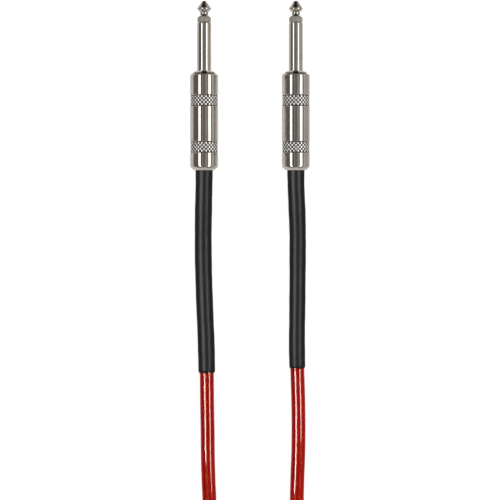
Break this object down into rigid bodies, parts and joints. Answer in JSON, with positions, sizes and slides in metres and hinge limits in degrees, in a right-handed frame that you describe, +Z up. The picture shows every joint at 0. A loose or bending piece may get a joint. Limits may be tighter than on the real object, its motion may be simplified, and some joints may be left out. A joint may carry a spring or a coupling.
{
  "type": "instrument cable",
  "caption": "Instrument cable with a straight 6.35 mm phone plug on each end, screw-on knurled barrels, black shrink sleeves and a clear red jacket, its spare length folded and tied.",
  "frame": {"origin": "on the surface that the cable lies on, midway between the two plugs and midway along them and their shrink sleeves", "axes": "+Y from the cable towards the plug tips, +X from the left plug to the right plug, +Z up from the surface"},
  "size_m": [0.0572, 0.4138, 0.0281],
  "materials": {
    "nickel_plate": "gloss",
    "tinned_brass": "satin",
    "grey_insulator": "satin",
    "fibre_board": "matte",
    "liner_film": "satin",
    "shrink_sleeve_black": "matte",
    "red_jacket": "gloss",
    "core_polythene": "satin",
    "shield_copper": "satin",
    "hook_and_loop_tape": "matte"
  },
  "bodies": {
    "cable": {"left_tip": "nickel_plate", "left_tip_ring": "grey_insulator", "left_rod_sleeve": "grey_insulator", "left_plug_body": "nickel_plate", "left_ground_lug": "tinned_brass", "left_rear_washer": "fibre_board", "left_tip_lug": "tinned_brass", "left_core_wire": "core_polythene", "left_shield_tail": "shield_copper", "left_shrink_sleeve": "shrink_sleeve_black", "left_cable": "red_jacket", "right_tip": "nickel_plate", "right_tip_ring": "grey_insulator", "right_rod_sleeve": "grey_insulator", "right_plug_body": "nickel_plate", "right_ground_lug": "tinned_brass", "right_rear_washer": "fibre_board", "right_tip_lug": "tinned_brass", "right_core_wire": "core_polythene", "right_shield_tail": "shield_copper", "right_shrink_sleeve": "shrink_sleeve_black", "right_cable": "red_jacket", "cable_hank": "red_jacket", "hank_tie": "hook_and_loop_tape"},
    "left_liner": {"left_barrel_liner": "liner_film"},
    "left_barrel": {"left_barrel": "nickel_plate"},
    "right_liner": {"right_barrel_liner": "liner_film"},
    "right_barrel": {"right_barrel": "nickel_plate"}
  },
  "joints": [
    {"name": "left_barrel_travel", "type": "slide", "parent": "cable", "child": "left_liner", "axis": [0, -1, 0], "range_m": [0, 0.00477]},
    {"name": "left_barrel_turn", "type": "hinge", "parent": "left_liner", "child": "left_barrel", "pos_m": [-0.02065, 0.0291, 0.00635], "axis": [0, -1, 0], "range_deg": [0, 2160]},
    {"name": "right_barrel_travel", "type": "slide", "parent": "cable", "child": "right_liner", "axis": [0, -1, 0], "range_m": [0, 0.00477]},
    {"name": "right_barrel_turn", "type": "hinge", "parent": "right_liner", "child": "right_barrel", "pos_m": [0.02065, 0.0291, 0.00635], "axis": [0, -1, 0], "range_deg": [0, 2160]}
  ],
  "couplings": [
    {"joint": "left_barrel_travel", "follows": "left_barrel_turn", "m_per_rad": 0.00012633},
    {"joint": "right_barrel_travel", "follows": "right_barrel_turn", "m_per_rad": 0.00012633}
  ]
}
